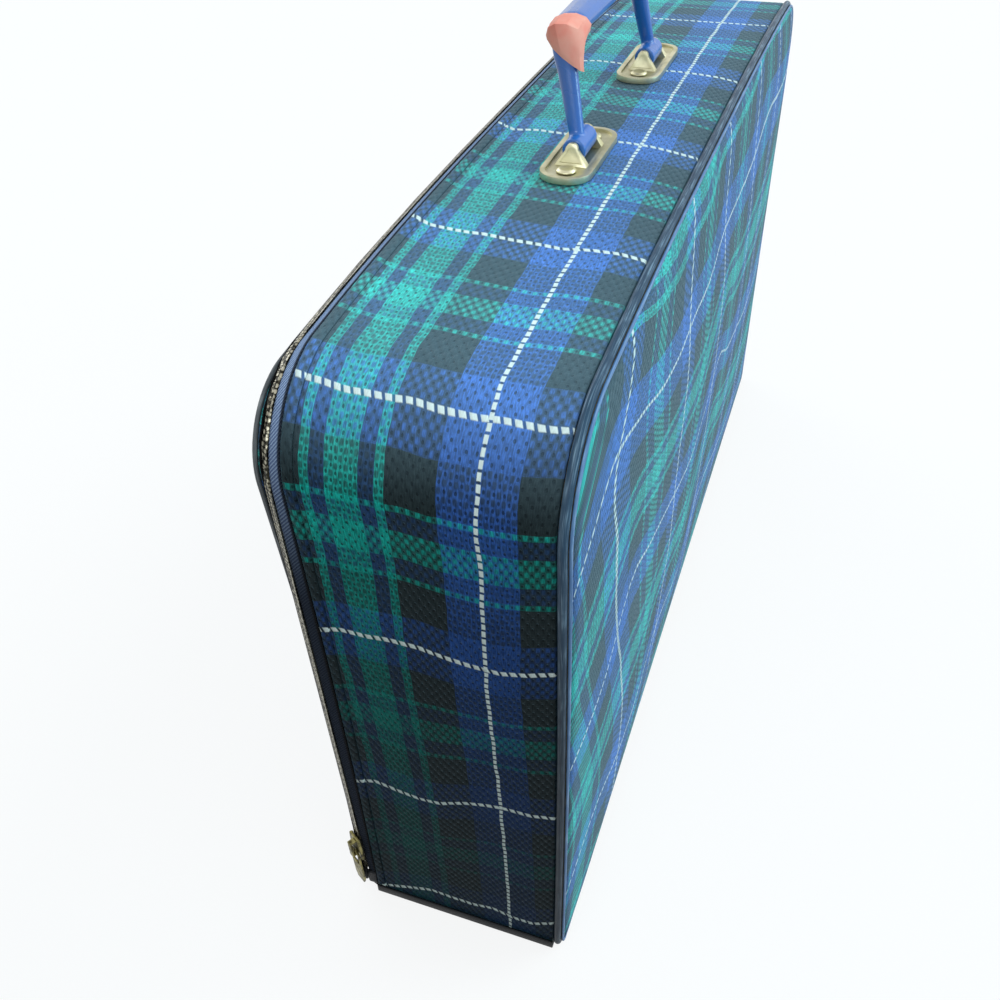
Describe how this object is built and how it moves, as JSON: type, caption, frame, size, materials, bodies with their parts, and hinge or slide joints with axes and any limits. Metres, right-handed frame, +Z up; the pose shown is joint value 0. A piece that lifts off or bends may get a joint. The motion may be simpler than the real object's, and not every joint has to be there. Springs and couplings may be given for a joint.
{
  "type": "zip-up suitcase",
  "caption": "Small upright suitcase in tartan cloth over board, with a zip round three sides, a hinged lid and a swinging carry handle on top.",
  "frame": {"origin": "middle of the case's narrow bottom, on the face that it stands on, under the line of the handle's pivots", "axes": "+Z up, X along the case's length with the zip slider at the -X end, the plain front face looks along -Y and the hinged lid along +Y"},
  "size_m": [0.4736, 0.114, 0.3297],
  "materials": {
    "tartan_cloth": "coarse woven tartan in blue, green and charcoal with white lines",
    "board": "matt fibre board",
    "vinyl_trim": "satin dark navy vinyl",
    "lining_paper": "matt grey paper",
    "zip_tape": "twill tape, grey blue",
    "zip_metal": "dull oxidised metal teeth",
    "slider_brass": "satin brass",
    "nickel_plate": "pressed sheet, bright warm nickel finish",
    "plain_steel": "plain steel",
    "handle_vinyl": "moulded royal blue vinyl, satin",
    "tag_paper": "plain coral paper"
  },
  "bodies": {
    "case": {"front_cover": "tartan_cloth", "front_board": "board", "front_piping": "vinyl_trim", "front_rim": "vinyl_trim", "band_cover": "tartan_cloth", "band_board": "board", "back_binding": "vinyl_trim", "bottom_cover": "vinyl_trim", "bottom_board": "board", "hinge_strip_case": "vinyl_trim", "case_lining": "lining_paper", "zip_tape_case": "zip_tape", "zip_teeth_case": "zip_metal", "zip_stop_near": "zip_metal", "zip_stop_far": "zip_metal", "handle_plate_near": "nickel_plate", "handle_backing_near": "plain_steel", "handle_pin_near": "plain_steel", "rivet_near_outer": "nickel_plate", "rivet_near_inner": "nickel_plate", "handle_plate_far": "nickel_plate", "handle_backing_far": "plain_steel", "handle_pin_far": "plain_steel", "rivet_far_outer": "nickel_plate", "rivet_far_inner": "nickel_plate"},
    "lid": {"lid_cover": "tartan_cloth", "lid_board": "board", "lid_lining": "lining_paper", "lid_binding": "vinyl_trim", "zip_tape_lid": "zip_tape", "zip_teeth_lid": "zip_metal", "hinge_strip_lid": "vinyl_trim"},
    "slider": {"slider_body": "slider_brass", "slider_back": "slider_brass"},
    "pull": {"zip_pull": "slider_brass"},
    "handle": {"handle_grip": "handle_vinyl", "handle_tag": "tag_paper"}
  },
  "joints": [
    {"name": "lid_hinge", "type": "hinge", "parent": "case", "child": "lid", "pos_m": [0, 0.04277, 0.0019], "axis": [-1, 0, 0], "range_deg": [0, 175]},
    {"name": "slider_run", "type": "slide", "parent": "lid", "child": "slider", "axis": [0, 0.0244, 0.9997], "range_m": [0, 0.165]},
    {"name": "pull_swing", "type": "hinge", "parent": "slider", "child": "pull", "pos_m": [-0.2352, 0.04702, 0.02796], "axis": [0.5145, 0.8572, -0.0209], "range_deg": [0, 165]},
    {"name": "handle_swing", "type": "hinge", "parent": "case", "child": "handle", "pos_m": [0, 0, 0.28498], "axis": [1, 0, 0], "range_deg": [-65, 90]}
  ]
}
